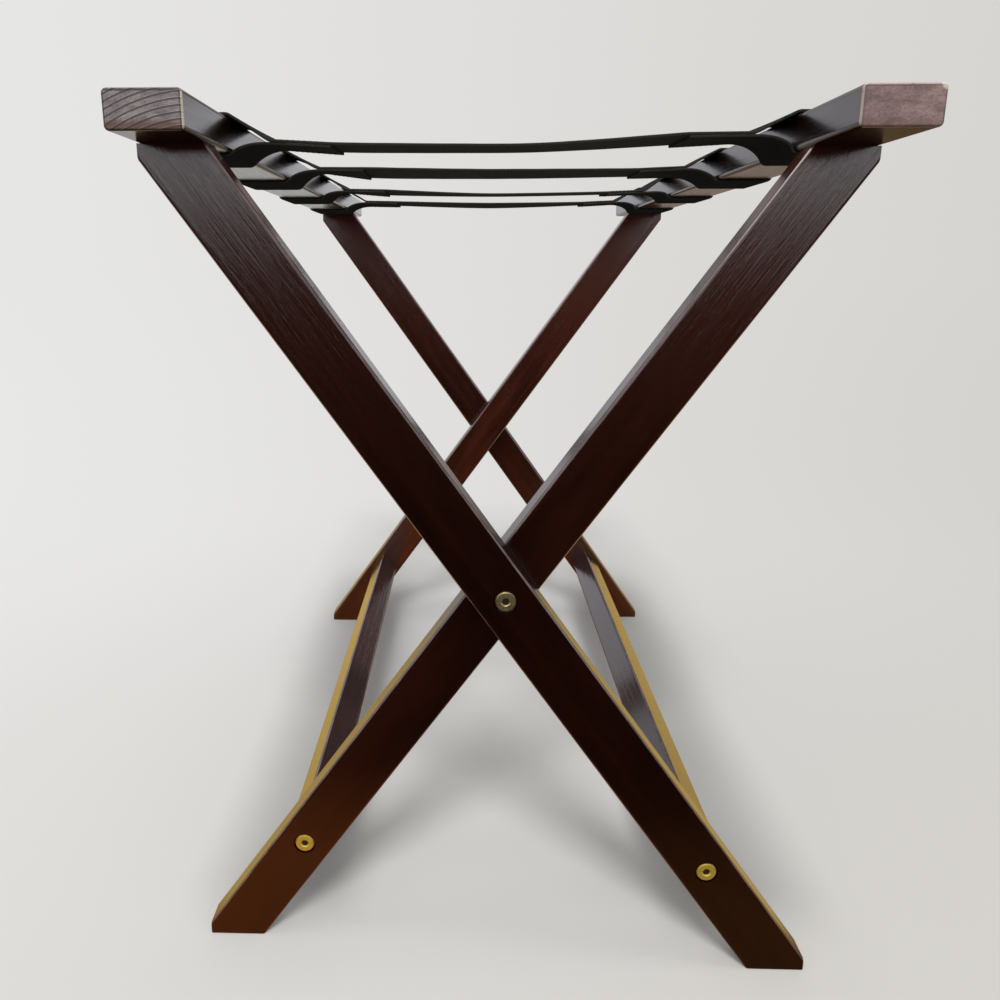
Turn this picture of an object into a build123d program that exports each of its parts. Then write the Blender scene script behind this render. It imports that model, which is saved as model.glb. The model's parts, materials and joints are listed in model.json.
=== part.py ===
from build123d import *
import os
from math import asin, atan2, cos, degrees, hypot, radians, sin, tan

# Folding luggage rack: two crossed wooden frames on a common pivot, joined at the top by four webbing straps.
#
# Millimetres, +Z up, X across the rack, Y along the rails. The origin is on the floor at the middle of the rack.
# The outer frame has the rail on the left (-X), the two outermost legs and the stretcher on the right. The inner
# frame has the rail on the right, the two legs just inside those, and the stretcher on the left. Front is -Y.

# ---------------------------------------------------------------- driving dimensions
overall_width = 385.0  # outer face of one rail to the outer face of the other
frame_height = 499.0  # floor to the underside of the rails

rail_length = 600.0
rail_width = 38.0
rail_thickness = 19.0
rail_round = 2.5  # radius on the long arrises of the rails
rail_end_round = 1.0  # softened edge round the rails' sawn ends
rail_overhang = 36.0  # end of a rail to the outer face of the outer leg

leg_width = 34.0
leg_thickness = 17.0
leg_round = 1.8  # radius on the long arrises of the legs
foot_round = 0.8  # softened edge round the feet and the trimmed corners
corner_trim = 6.0  # how far a leg's sharp corner would stand past the rail if it weren't cut plumb

stretcher_size = 22.0  # square section
stretcher_round = 2.0
stretcher_height = 73.5  # floor to the middle of a stretcher
outer_stretcher_turn = 11.0  # degrees; one bolt at each end lets the outer stretcher settle off square

bolt_head_diameter = 12.0
bolt_head_height = 2.0
bolt_head_chamfer = 0.5
bolt_shank_diameter = 6.0
bolt_socket_flats = 4.0
bolt_socket_depth = 3.2
bolt_mouth_diameter = 5.6  # countersink round the socket
bolt_mouth_depth = 0.5
bolt_tip_chamfer = 0.8
bolt_drop = 3.0  # the stretcher bolts lie this far down the leg from the stretchers' middle

insert_diameter = 9.0
insert_length = 16.0

pivot_nut_diameter = 10.0
pivot_nut_length = 13.0
washer_diameter = 19.0
washer_thickness = 1.0

dowel_diameter = 8.0
dowel_spacing = 14.0  # between the two dowels of one leg
dowel_chamfer = 0.8
dowel_in_rail = 12.0
dowel_in_leg = 15.0

strap_count = 4
strap_width = 48.0
strap_thickness = 1.6
strap_drop = 14.0  # top of the rails down to the underside of the webbing between them
strap_exit_slope = 34.0  # degrees, webbing leaving the top of a rail
strap_return_slope = 24.0  # degrees, webbing coming back from under a rail
strap_sewn_length = 44.0  # doubled webbing that is stitched together
strap_bend = 12.0  # radius of the soft bends between the rails
strap_nip = 0.3  # how far the stitching pulls the doubled layers into each other

# ---------------------------------------------------------------- clearances
head_clearance = 1.0  # radial, between a bolt head and its counterbore
head_recess = 0.2  # bolt heads lie this far below the wood
shank_clearance = 0.15  # radial, bolt shank in a leg
bolt_end_gap = 1.0  # a bolt ends this far before the inner end of its insert or nut
pivot_play = 0.1  # along the pivot bolt, so that the outer leg turns freely
thread_clearance = 0.05  # radial, bolt in its nut or insert
washer_clearance = 0.1  # radial, washer on the pivot bolt
insert_clearance = 0.02  # radial, insert or pivot nut in the wood
dowel_clearance = 0.1  # radial, room for glue
blind_well = 1.0  # spare depth below each dowel, insert and pivot nut
strap_clearance = 0.3  # webbing to the rail that it goes round
strap_leg_gap = 1.0  # edge of the first and last strap to the inner legs

# ---------------------------------------------------------------- derived places
half_width = overall_width / 2
rail_inner = half_width - rail_width
rail_middle = half_width - rail_width / 2
rail_top = frame_height + rail_thickness
pivot_height = frame_height / 2

corner_reach = half_width + corner_trim
leg_slope = atan2(pivot_height, corner_reach) + asin(leg_width / 2 / hypot(corner_reach, pivot_height))
leg_span = leg_width / sin(leg_slope)  # width of a leg measured along the floor
foot_inner = corner_reach - leg_span
trim_height = corner_trim * tan(leg_slope)
stretcher_reach = (pivot_height - stretcher_height) / tan(leg_slope)
stretcher_bolt_reach = stretcher_reach + bolt_drop * cos(leg_slope)
stretcher_bolt_height = stretcher_height - bolt_drop * sin(leg_slope)

outer_leg_face = rail_length / 2 - rail_overhang
outer_leg_back = outer_leg_face - leg_thickness
inner_leg_face = outer_leg_back - washer_thickness
inner_leg_back = inner_leg_face - leg_thickness

head_pocket = bolt_head_height + head_recess
stretcher_bolt_length = leg_thickness - head_pocket + insert_length - bolt_end_gap
pivot_bolt_seat = outer_leg_face - head_pocket + pivot_play
pivot_bolt_length = pivot_bolt_seat - inner_leg_face + pivot_nut_length - bolt_end_gap

last_strap = inner_leg_back - strap_leg_gap - strap_width / 2
strap_pitch = 2 * last_strap / (strap_count - 1)

ENDS = (("front", -1), ("rear", 1))


def save(builder, name):
    """Label a finished piece and write it under the same name."""
    builder.part.label = name
    export_step(builder.part, f"parts/{name}.step")


def section_plane(y):
    """An upright plane across the rack, seen from the front: its own x is X and its own y is Z."""
    return Plane(origin=(0, y, 0), x_dir=(1, 0, 0), z_dir=(0, -1, 0))


def facing(x, y, z, way):
    """A plane at a point that looks along Y: towards the front when way is -1, the rear when it is 1."""
    return Plane(origin=(x, y, z), x_dir=(1, 0, 0), z_dir=(0, way, 0))


def make_rail(name, side, leg_middle):
    """A flat bar that lies on two legs, `leg_middle` either side of its middle, bored for their dowels."""
    with BuildPart() as rail:
        with BuildSketch(section_plane(rail_length / 2)):
            with Locations((side * rail_middle, frame_height + rail_thickness / 2)):
                Rectangle(rail_width, rail_thickness)
        extrude(amount=rail_length)
        fillet(rail.edges().filter_by(Axis.Y), rail_round)
        fillet(rail.faces().filter_by(Axis.Y).edges(), rail_end_round)
        with Locations(Plane(origin=(side * rail_middle, 0, frame_height), z_dir=(0, 0, -1))):
            with GridLocations(dowel_spacing, 2 * leg_middle, 2, 2):
                Hole(dowel_diameter / 2 + dowel_clearance, dowel_in_rail + blind_well)
    save(rail, name)


def make_leg(name, side, way, face, turns_on_bolt):
    """A leg from the rail on `side` to the foot on the other side, its outer face `face` from the middle.

    The pivot bolt goes through a leg that turns on it, and ends in a blind hole for its nut in the other leg.
    """
    back = face - leg_thickness
    with BuildPart() as leg:
        with BuildSketch(section_plane(max(way * face, way * back))):
            with BuildLine():
                Polyline(
                    (-side * foot_inner, 0),
                    (-side * half_width, 0),
                    (-side * half_width, trim_height),
                    (side * foot_inner, frame_height),
                    (side * half_width, frame_height),
                    (side * half_width, frame_height - trim_height),
                    close=True,
                )
            make_face()
        extrude(amount=leg_thickness)
        fillet(leg.edges().filter_by(lambda edge: edge.length > pivot_height), leg_round)
        fillet(leg.faces().sort_by(Axis.Z)[0].edges(), foot_round)
        shank_radius = bolt_shank_diameter / 2 + shank_clearance
        pocket_radius = bolt_head_diameter / 2 + head_clearance
        with Locations(facing(0, way * face, pivot_height, way)):
            if turns_on_bolt:
                CounterBoreHole(shank_radius, pocket_radius, head_pocket)
            else:
                Hole(pivot_nut_diameter / 2 + insert_clearance, pivot_nut_length + blind_well)
        with Locations(facing(-side * stretcher_bolt_reach, way * face, stretcher_bolt_height, way)):
            CounterBoreHole(shank_radius, pocket_radius, head_pocket)
        with Locations(Plane(origin=(side * rail_middle, way * (face + back) / 2, frame_height))):
            with GridLocations(dowel_spacing, 0, 2, 1):
                Hole(dowel_diameter / 2 + dowel_clearance, dowel_in_leg + blind_well)
    save(leg, name)


def make_dowels(name, side, way, leg_middle):
    """The two glued dowels between one leg and its rail."""
    with BuildPart() as dowels:
        with BuildSketch(Plane.XY.offset(frame_height - dowel_in_leg)):
            with Locations((side * rail_middle, way * leg_middle)):
                with GridLocations(dowel_spacing, 0, 2, 1):
                    Circle(dowel_diameter / 2)
        extrude(amount=dowel_in_leg + dowel_in_rail)
        chamfer(dowels.edges().filter_by(GeomType.CIRCLE), dowel_chamfer)
    save(dowels, name)


def make_stretcher(name, side, length, turn):
    """A square bar between the legs of one frame, turned with their slope, its ends bored for the inserts."""
    with BuildPart() as stretcher:
        with BuildSketch(section_plane(length / 2)):
            with Locations((side * stretcher_reach, stretcher_height)):
                Rectangle(stretcher_size, stretcher_size, rotation=turn - side * degrees(leg_slope))
        extrude(amount=length)
        fillet(stretcher.edges().filter_by(Axis.Y), stretcher_round)
        for _, way in ENDS:
            with Locations(facing(side * stretcher_bolt_reach, way * length / 2, stretcher_bolt_height, way)):
                Hole(insert_diameter / 2 + insert_clearance, insert_length + blind_well)
    save(stretcher, name)


def make_bolt(name, x, z, way, seat, length):
    """A flat-headed connector bolt with a countersunk hexagon socket. `seat` is where its head sits."""
    crown = seat + bolt_head_height
    with BuildPart() as bolt:
        with BuildSketch(facing(x, way * seat, z, way)):
            Circle(bolt_head_diameter / 2)
        extrude(amount=bolt_head_height)
        chamfer(bolt.edges().sort_by(Axis.Y)[-1 if way > 0 else 0], bolt_head_chamfer)
        with BuildSketch(facing(x, way * seat, z, -way)):
            Circle(bolt_shank_diameter / 2)
        extrude(amount=length)
        chamfer(bolt.edges().sort_by(Axis.Y)[0 if way > 0 else -1], bolt_tip_chamfer)
        with BuildSketch(facing(x, way * crown, z, -way)):
            RegularPolygon(bolt_socket_flats / 2, 6, major_radius=False)
        extrude(amount=bolt_socket_depth, mode=Mode.SUBTRACT)
        with BuildSketch(facing(x, way * crown, z, -way)):
            Circle(bolt_mouth_diameter / 2)
        extrude(amount=bolt_mouth_depth, taper=45, mode=Mode.SUBTRACT)
    save(bolt, name)


def make_sleeve(name, x, z, way, face, diameter, length):
    """A threaded sleeve that is screwed into the wood, flush with the face that lies `face` from the middle."""
    with BuildPart() as sleeve:
        with BuildSketch(facing(x, way * face, z, -way)):
            Circle(diameter / 2)
            Circle(bolt_shank_diameter / 2 + thread_clearance, mode=Mode.SUBTRACT)
        extrude(amount=length)
    save(sleeve, name)


def make_washer(name, way):
    """The flat washer that keeps the crossed legs apart."""
    with BuildPart() as washer:
        with BuildSketch(facing(0, way * outer_leg_back, pivot_height, -way)):
            Circle(washer_diameter / 2)
            Circle(bolt_shank_diameter / 2 + washer_clearance, mode=Mode.SUBTRACT)
        extrude(amount=washer_thickness)
    save(washer, name)


def make_strap(name, y_middle):
    """One strip of webbing: over and round each rail, back under it, and sewn to its own underside."""
    off = strap_clearance + strap_thickness / 2
    wrap = rail_round + off
    outer = half_width + off
    over = rail_top + off
    under = frame_height - off
    span = rail_top - strap_drop + strap_thickness / 2
    doubled = span - strap_thickness + strap_nip
    half_way = (over + under) / 2
    arris = rail_inner + rail_round
    top_corner = arris - wrap * tan(radians(strap_exit_slope / 2))
    top_join = top_corner - (over - span) / tan(radians(strap_exit_slope))
    low_corner = arris - wrap * tan(radians(strap_return_slope / 2))
    low_join = low_corner - (doubled - under) / tan(radians(strap_return_slope))
    top = [(outer, half_way), (outer, over), (top_corner, over), (top_join, span)]
    low = [
        (outer, half_way),
        (outer, under),
        (low_corner, under),
        (low_join, doubled),
        (low_join - strap_sewn_length, doubled),
    ]
    bends = [wrap, wrap, strap_bend]
    with BuildPart() as strap:
        with BuildSketch(section_plane(y_middle + strap_width / 2)):
            with BuildLine():
                FilletPolyline(*top, *[(-x, z) for x, z in reversed(top)], radius=[*bends, *reversed(bends)])
            trace(line_width=strap_thickness)
            for side in (-1, 1):
                with BuildLine():
                    FilletPolyline([(side * x, z) for x, z in low], radius=bends)
                trace(line_width=strap_thickness)
        extrude(amount=strap_width)
    save(strap, name)


# ---------------------------------------------------------------- the pieces
os.makedirs("parts", exist_ok=True)

FRAMES = (
    ("outer", -1, outer_leg_face, outer_stretcher_turn),
    ("inner", 1, inner_leg_face, 0.0),
)
for frame, side, face, turn in FRAMES:
    back = face - leg_thickness
    middle = face - leg_thickness / 2
    seat = face - head_pocket
    bolt_x = -side * stretcher_bolt_reach
    bolt_z = stretcher_bolt_height
    make_rail(f"{frame}_rail", side, middle)
    make_stretcher(f"{frame}_stretcher", -side, 2 * back, turn)
    for end, way in ENDS:
        make_leg(f"{frame}_leg_{end}", side, way, face, frame == "outer")
        make_dowels(f"{frame}_dowels_{end}", side, way, middle)
        make_bolt(f"{frame}_stretcher_bolt_{end}", bolt_x, bolt_z, way, seat, stretcher_bolt_length)
        make_sleeve(f"{frame}_insert_{end}", bolt_x, bolt_z, way, back, insert_diameter, insert_length)

for end, way in ENDS:
    nut = (inner_leg_face, pivot_nut_diameter, pivot_nut_length)
    make_bolt(f"pivot_bolt_{end}", 0, pivot_height, way, pivot_bolt_seat, pivot_bolt_length)
    make_sleeve(f"pivot_nut_{end}", 0, pivot_height, way, *nut)
    make_washer(f"pivot_washer_{end}", way)

for number in range(strap_count):
    make_strap(f"strap_{number + 1}", number * strap_pitch - last_strap)
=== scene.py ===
import json
import math
import random

import bmesh
import bpy
from bpy.props import (
    FloatProperty,
    FloatVectorProperty,
    IntProperty,
    PointerProperty,
)
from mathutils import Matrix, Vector


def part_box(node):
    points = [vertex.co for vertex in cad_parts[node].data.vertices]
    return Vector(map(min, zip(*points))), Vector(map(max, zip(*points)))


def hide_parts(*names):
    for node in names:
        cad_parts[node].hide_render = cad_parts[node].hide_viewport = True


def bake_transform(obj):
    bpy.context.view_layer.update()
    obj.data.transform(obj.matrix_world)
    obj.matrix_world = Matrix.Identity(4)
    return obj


bl_info = {
    "name": "Folding Luggage Rack",
    "version": (1, 0, 0),
    "blender": (4, 5, 0),
    "location": "View3D > Sidebar > Luggage Rack",
    "description": "Finishes a folding luggage rack: wood, brass bolts, webbing straps and a studio",
    "category": "Object",
}

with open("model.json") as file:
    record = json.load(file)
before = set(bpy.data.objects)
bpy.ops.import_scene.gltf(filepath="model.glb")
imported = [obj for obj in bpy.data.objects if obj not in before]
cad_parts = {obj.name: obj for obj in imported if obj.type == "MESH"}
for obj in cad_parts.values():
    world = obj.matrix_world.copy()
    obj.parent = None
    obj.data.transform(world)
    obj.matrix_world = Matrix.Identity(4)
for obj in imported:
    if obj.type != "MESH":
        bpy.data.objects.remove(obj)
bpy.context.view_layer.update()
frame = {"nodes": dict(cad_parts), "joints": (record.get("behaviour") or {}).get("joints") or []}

# ---------------------------------------------------------------- places and sizes read from the frame
NODES = frame["nodes"]
PIVOT_HEIGHT = frame["joints"][0]["pos_m"][2]
STRAP_NODES = sorted(name for name in NODES if name.startswith("strap_"))
FRAMES = (("outer", -1), ("inner", 1))  # each frame, and the side that its rail lies on
ENDS = ("front", "rear")

# The inner frame's rail, on the right. The outer frame's mirrors it.
rail_low, rail_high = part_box("inner_rail")
RAIL_BOTTOM = rail_low.z
RAIL_TOP = rail_high.z
RAIL_INSIDE = rail_low.x
RAIL_OUTSIDE = rail_high.x
RAIL_END = rail_high.y

# ---------------------------------------------------------------- settings that a user may change


def colour(name, description, default):
    """A linear colour setting."""
    return FloatVectorProperty(
        name=name,
        description=description,
        subtype="COLOR",
        size=3,
        min=0,
        max=1,
        default=default,
    )


def length(name, description, default):
    """A distance setting, in metres."""
    return FloatProperty(
        name=name,
        description=description,
        subtype="DISTANCE",
        unit="LENGTH",
        min=0,
        precision=4,
        default=default,
    )


class RackWoodSettings(bpy.types.PropertyGroup):
    stain: colour("Stain", "Dark colour of the lacquered faces", (0.0120, 0.0026, 0.0012))
    stain_warm: colour("Warm stain", "Redder colour that the grain wanders to", (0.0290, 0.0062, 0.0032))
    end_grain: colour("End grain", "Colour of the ringed rail ends between the rings", (0.385, 0.32, 0.32))
    end_rosy: colour("Rosy end grain", "Colour of the rail ends without rings", (0.50, 0.312, 0.298))
    end_ring: colour("Ring", "Colour of the dark rings in the sawn ends", (0.070, 0.045, 0.050))
    scorched: colour("Lower edge", "Colour of lacquer that ran to the lower edge", (0.110, 0.034, 0.012))
    # Partly rubbed lacquer, partly a painted highlight along the bars' arrises.
    worn_and_highlight: colour("Worn edge", "Colour where the lacquer has rubbed thin", (0.42, 0.29, 0.28))
    # Also the colour of the pale cream line along two arrises of a rail's sawn ends.
    bare: colour("Bare edge", "Colour of bare wood on a chipped arris", (0.78, 0.66, 0.54))
    ring_gap: length("Ring gap", "Distance between two growth rings", 0.0030)


class RackMetalSettings(bpy.types.PropertyGroup):
    brass: colour("Brass", "Colour of the stretcher bolts and inserts", (0.95, 0.73, 0.14))
    antique: colour("Antique brass", "Colour of the pivot bolts and nuts", (0.62, 0.50, 0.27))


class RackStrapSettings(bpy.types.PropertyGroup):
    webbing: colour("Webbing", "Colour of the straps", (0.0165, 0.0166, 0.0140))
    thread: colour("Thread", "Colour of the stitching", (0.020, 0.020, 0.018))
    thickness: length("Thickness", "Thickness of one layer of webbing", 0.0016)
    sewn: length("Sewn length", "Length of the doubled, stitched ends", 0.0330)
    stitch: length("Stitch", "Length of one stitch", 0.0026)
    thread_width: length("Thread width", "Thickness of the sewing thread", 0.0005)
    rows: IntProperty(
        name="Rows",
        description="Rows of stitching across each sewn end",
        min=2,
        max=6,
        default=3,
    )


class RackStageSettings(bpy.types.PropertyGroup):
    # The backdrop is painted lighter on the left and darker on the right, a painted light falloff.
    backdrop_left: colour("Backdrop, left", "Colour of the backdrop on the left", (0.855, 0.855, 0.858))
    backdrop_right: colour("Backdrop, right", "Colour of the backdrop on the right", (0.620, 0.605, 0.575))
    lamp_power: FloatProperty(
        name="Lamp",
        description="Power of the overhead softbox",
        subtype="POWER",
        unit="POWER",
        min=0,
        default=34,
    )


class RackSettings(bpy.types.PropertyGroup):
    wood: PointerProperty(type=RackWoodSettings)
    metal: PointerProperty(type=RackMetalSettings)
    straps: PointerProperty(type=RackStrapSettings)
    stage: PointerProperty(type=RackStageSettings)


def settings():
    return bpy.context.scene.luggage_rack


# ---------------------------------------------------------------- shader nodes written as expressions


class Signal:
    """A socket in a node tree. An operator on it adds the Math node that it stands for."""

    def __init__(self, finish, socket):
        self.finish = finish
        self.socket = socket

    def maths(self, operation, *values):
        return self.finish.add("ShaderNodeMath", {"operation": operation}, dict(enumerate(values)))

    def __add__(self, other):
        return self.maths("ADD", self, other)

    def __sub__(self, other):
        return self.maths("SUBTRACT", self, other)

    def __mul__(self, other):
        return self.maths("MULTIPLY", self, other)

    def __truediv__(self, other):
        return self.maths("DIVIDE", self, other)

    def __pow__(self, other):
        return self.maths("POWER", self, other)

    def __rsub__(self, other):
        return self.maths("SUBTRACT", other, self)

    def __neg__(self):
        return self.maths("MULTIPLY", self, -1)

    def __abs__(self):
        return self.maths("ABSOLUTE", self)

    __radd__ = __add__
    __rmul__ = __mul__

    def root(self):
        return self.maths("SQRT", self)

    def wave(self):
        """A wave between 0 and 1, from an angle in radians."""
        return (self.maths("SINE", self) + 1) * 0.5

    def fraction(self):
        return self.maths("FRACT", self)

    def ramp(self, start, end, low=0.0, high=1.0):
        """low before start, high after end and a smooth rise between them."""
        values = {"Value": self, "From Min": start, "From Max": end, "To Min": low, "To Max": high}
        return self.finish.add("ShaderNodeMapRange", {"interpolation_type": "SMOOTHSTEP"}, values)

    def fall(self, start, end):
        """1 before start, 0 after end and a smooth fall between them."""
        return 1 - self.ramp(start, end)


class Finish:
    """The nodes of one material, or of the world."""

    def __init__(self, tree):
        self.tree = tree
        self.tree.nodes.clear()

    def add(self, kind, options=None, values=None, output=0):
        """Add a node: its own settings first, then the values or links of its sockets."""
        node = self.tree.nodes.new(kind)
        for name, value in (options or {}).items():
            setattr(node, name, value)
        for name, value in (values or {}).items():
            self.feed(node.inputs[name], value)
        return Signal(self, node.outputs[output])

    def feed(self, socket, value):
        if isinstance(value, Signal):
            self.tree.links.new(value.socket, socket)
        elif socket.type == "RGBA" and len(value) == 3:
            socket.default_value = (*value, 1)
        else:
            socket.default_value = value

    def place(self):
        """The point on the piece, in metres in the rack's frame."""
        return self.add("ShaderNodeTexCoord", output="Object")

    def cloth_place(self):
        """The point on a strip: along it, then across it, in metres."""
        return self.add("ShaderNodeTexCoord", output="UV")

    def measure(self, place, direction):
        """How far a point lies along a direction."""
        values = {0: place, 1: direction}
        return self.add("ShaderNodeVectorMath", {"operation": "DOT_PRODUCT"}, values, output="Value")

    def point(self, x, y, z=0.0):
        return self.add("ShaderNodeCombineXYZ", None, {"X": x, "Y": y, "Z": z})

    def noise(self, place, scale, detail=2.0, roughness=0.5):
        values = {"Vector": place, "Scale": scale, "Detail": detail, "Roughness": roughness}
        return self.add("ShaderNodeTexNoise", None, values)

    def cells(self, x, y, z=0.0, detail=2.0, roughness=0.5):
        """Noise at a place whose x, y and z are counted in cells of the noise."""
        return self.noise(self.point(x, y, z), 1.0, detail, roughness)

    def mix(self, factor, first, second):
        """first where factor is 0, second where it is 1."""
        return self.add("ShaderNodeMix", {"data_type": "RGBA"}, {0: factor, 6: first, 7: second}, output=2)

    def bump(self, height, distance, strength=1.0):
        values = {"Height": height, "Distance": distance, "Strength": strength}
        return self.add("ShaderNodeBump", None, values)

    def light(self, kind, tone):
        """A shader that gives off light of one colour."""
        return self.add(kind, None, {"Color": tone, "Strength": 1.0})

    def blend(self, factor, first, second):
        """One shader where factor is 0 and another where it is 1."""
        return self.add("ShaderNodeMixShader", None, {0: factor, 1: first, 2: second})

    def end(self, shader, kind="ShaderNodeOutputMaterial"):
        """Send a shader to the output."""
        output = self.tree.nodes.new(kind)
        self.tree.links.new(shader.socket, output.inputs["Surface"])


def new_material(name):
    """A material and its empty node tree."""
    material = bpy.data.materials.new(name)
    material.use_nodes = True
    return material, Finish(material.node_tree)


def surface(finish, values):
    """End a material with the Principled shader."""
    finish.end(finish.add("ShaderNodeBsdfPrincipled", None, values))


def stand(name, data):
    """A new object in the scene, for a mesh, a lamp or a camera."""
    thing = bpy.data.objects.new(name, data)
    bpy.context.scene.collection.objects.link(thing)
    return thing


def paint(node_name, material):
    """Give a CAD node one material."""
    mesh = NODES[node_name].data
    mesh.materials.clear()
    mesh.materials.append(material)


def shaded(tone, share):
    """A colour at a share of its lightness."""
    return [share * part for part in tone]


# ---------------------------------------------------------------- wood

GRAIN_DEPTH = 0.00022  # relief of the open grain
RING_WANDER = 0.0030  # how far a growth ring strays from a circle
ARRIS_STARTS = 0.0013  # in from a bar's edge, to where the rubbed lacquer and painted highlight of its arris start
ARRIS_ENDS = 0.0003  # and to where it is full
TOP_LIGHT_HEIGHTS = (0.30, 0.44)  # heights between which a bar is painted lighter towards the top, as painted light
GLOSS = 0.12  # roughness of the lacquer on a leg or stretcher
RAIL_GLOSS = 0.19  # and on a rail


def leg_slope():
    """The angle of a leg to the floor, from a bolt that lies on its middle line."""
    low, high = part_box("inner_stretcher_bolt_front")
    bolt = (low + high) / 2
    return math.atan2(PIVOT_HEIGHT - bolt.z, abs(bolt.x))


RAIL_AXES = Vector((0, 1, 0)), Vector((1, 0, 0)), Vector((0, 0, 1))


def leg_axes(side):
    """The direction of a leg's grain, then of its width, then of its thickness."""
    slope = leg_slope()
    along = Vector((-side * math.cos(slope), 0, -math.sin(slope)))
    across = Vector((side * math.sin(slope), 0, -math.cos(slope)))
    return along, across, Vector((0, 1, 0))


def stretcher_axes(name):
    """The direction of a stretcher's grain and of two of its faces."""
    long_faces = [face for face in NODES[name].data.polygons if abs(face.normal.y) < 0.01]
    facing = max(long_faces, key=lambda face: face.area).normal.copy()
    return Vector((0, 1, 0)), facing, facing.cross(Vector((0, 1, 0)))


def half_span(name, direction):
    """Half of a bar's size along a direction."""
    places = [corner.co.dot(direction) for corner in NODES[name].data.vertices]
    return (max(places) - min(places)) / 2


class Board:
    """The stained wood of one bar. Its rings lie round a pith beside it, so they are arcs on a sawn end and
    long streaks on a face. Every size is in metres from the middle of the bar's section."""

    def __init__(self, name, axes, centre, half_width, half_depth, pith, seed):
        look = settings().wood
        self.material, self.finish = new_material(name)
        self.seed = seed
        self.half_width = half_width
        self.half_depth = half_depth
        place = self.finish.place()
        along_axis, width_axis, depth_axis = axes
        self.height = self.finish.measure(place, (0, 0, 1))
        self.along = self.finish.measure(place, along_axis)
        self.across = self.finish.measure(place, width_axis) - centre.dot(width_axis)
        self.depth = self.finish.measure(place, depth_axis) - centre.dot(depth_axis)
        wander = (self.grain(1.6, 14) - 0.5) * RING_WANDER
        radius = ((self.across - pith[0]) ** 2 + (self.depth - pith[1]) ** 2).root() + wander
        ring = (radius * (1 / look.ring_gap) + seed).fraction()
        self.late = ring.ramp(0.52, 0.80) * ring.fall(0.84, 0.97)
        self.fine = self.grain(22, 900, 3.0, 0.6)
        self.rub = self.grain(60, 220, 3.0, 0.65)
        self.pores = self.grain(40, 950, 3.0, 0.65)

    def grain(self, along, across, detail=2.0, roughness=0.5):
        """Noise that is drawn out along the bar: how many cells to the metre along it and across it."""
        x = self.along * along + self.seed
        return self.finish.cells(x, self.across * across, self.depth * across, detail, roughness)

    def edge(self, reach, half):
        """1 at a face's edges, from how far a point lies off its middle and half of its size."""
        return abs(reach).ramp(half - ARRIS_STARTS, half - ARRIS_ENDS)

    def arris(self):
        """1 on the bar's long arrises."""
        return self.edge(self.across, self.half_width) * self.edge(self.depth, self.half_depth)

    def stained(self, paler=1.0, top_light=1.0):
        """The colour of a lacquered face, and where its arrises show rubbed lacquer and a painted
        highlight. A paler bar is painted lighter, and towards the top it is painted in the warm stain at a
        share, as painted light."""
        look = settings().wood
        warm = shaded(look.stain_warm, paler)
        cloud = self.grain(9, 34, 3.0, 0.6).ramp(0.32, 0.68)
        tone = self.late * 0.20 + self.fine * 0.25 + self.pores * 0.20 + cloud * 0.55
        face = self.finish.mix(tone.ramp(0.10, 1.05), shaded(look.stain, paler), warm)
        # Painted light: nearer the top, where more light falls, the bar is painted in the warm stain at the
        # given share.
        face = self.finish.mix(self.height.ramp(*TOP_LIGHT_HEIGHTS), face, shaded(warm, top_light))
        # The arrises are painted lighter and pinker in patches: partly rubbed lacquer, partly a painted
        # highlight.
        wear_and_highlight = self.arris() * self.rub.ramp(0.35, 0.70, 0.20, 0.60)
        return self.finish.mix(wear_and_highlight, face, look.worn_and_highlight), wear_and_highlight

    def lacquer(self, tone, wear_and_highlight, dull, open_grain=0.0, relief=1.0):
        """End the material with stain under a clear coat. dull is the lacquer's roughness, open_grain is 1
        on a sawn end, and relief is how deep the grain lies."""
        height = (self.fine * 0.30 + self.pores * 0.55 + self.late * 0.15) * relief
        values = {
            "Base Color": tone,
            "Roughness": dull + self.fine.ramp(0.35, 0.65) * 0.05 + wear_and_highlight * 0.2 + open_grain * 0.30,
            "IOR": 1.78,
            "Coat Weight": 0.22 - open_grain * 0.2,
            "Coat Roughness": 0.10,
            "Normal": self.finish.bump(height, GRAIN_DEPTH, 0.8),
        }
        surface(self.finish, values)
        return self.material


# How much paler each bar is painted, and at what share of the warm stain it is painted towards the top, as
# painted light, as shares. The rear legs are painted paler as painted haze.
LEG_STAIN = {
    "outer_leg_front": (0.62, 1.6),
    "outer_leg_rear": (1.7, 1.1),
    "inner_leg_front": (1.0, 1.25),
    "inner_leg_rear": (2.6, 1.1),
}
RAIL_STAIN = (0.25, 0.8)
LEG_PLANED = 0.6
STRETCHER_PITH = (0.05, 0.03)


def finish_bar(board, paler=1.0, top_light=1.0, planed=0.0):
    """The lacquered wood of a leg or stretcher. Planed narrow edges are flatter and duller."""
    tone, wear_and_highlight = board.stained(paler, top_light)
    flat = board.edge(board.across, board.half_width) * planed
    return board.lacquer(tone, wear_and_highlight, dull=flat * 0.22 + GLOSS, relief=1 - flat)


# How strongly each mark shows on a rail's sawn ends: lacquer that ran to the lower edge, a dark seam inside
# two arrises, a pale cream line on the arris that faces the other rail and on the upper one, and a dark
# line round the rest.
RINGED_MARKS = {"run": 0.85, "seam": 0.75, "facing": 0.9, "upper": 0.0, "line": 0.8}
ROSY_MARKS = {"run": 0.35, "seam": 0.35, "facing": 0.45, "upper": 0.5, "line": 0.4}

# How far in from a rail's end each mark fades, in metres.
SAWN_DEPTH = (0.0004, 0.0009)
MARK_DEPTH = (0.0006, 0.0011)
SEAM_DEPTH = (0.0016, 0.0024)
CHIP_DEPTH = (0.0030, 0.0040)

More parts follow.
